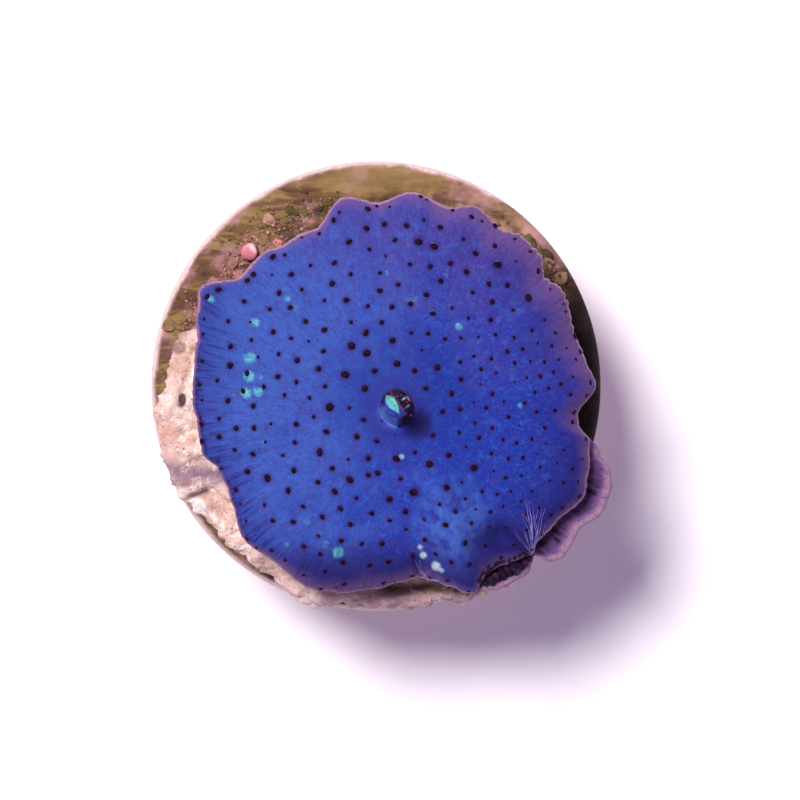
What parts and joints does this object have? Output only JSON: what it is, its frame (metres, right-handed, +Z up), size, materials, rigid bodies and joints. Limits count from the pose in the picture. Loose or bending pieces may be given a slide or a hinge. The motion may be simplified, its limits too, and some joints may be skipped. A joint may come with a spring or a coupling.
{
  "type": "mushroom coral on a frag plug",
  "caption": "Blue spotted mushroom coral with a wide thin disc and a folded margin, on a pale rubble rock glued to a round ceramic frag plug with a stem.",
  "frame": {"origin": "centre of the flat foot of the plug's stem", "axes": "+Z up along the plug's axis, out of the coral's mouth side; +X towards the side where the disc's margin is notched and folded to its right, +Y towards the side with no fold"},
  "size_m": [0.03, 0.03, 0.0243],
  "materials": {
    "plug_ceramic": "unglazed ceramic under an olive algae film with mauve coralline patches and a bare pale pink rim",
    "set_glue": "set cyanoacrylate gel, milky and dull",
    "reef_rock": "rough pitted aragonite rubble, cream to pink with coralline specks",
    "polyp_flesh": "soft velvety blue flesh with dark maroon tubercles and cyan patches"
  },
  "bodies": {
    "root": {"plug": "plug_ceramic", "glue_pad": "set_glue", "rubble_rock": "reef_rock", "mushroom_polyp": "polyp_flesh"}
  },
  "joints": []
}
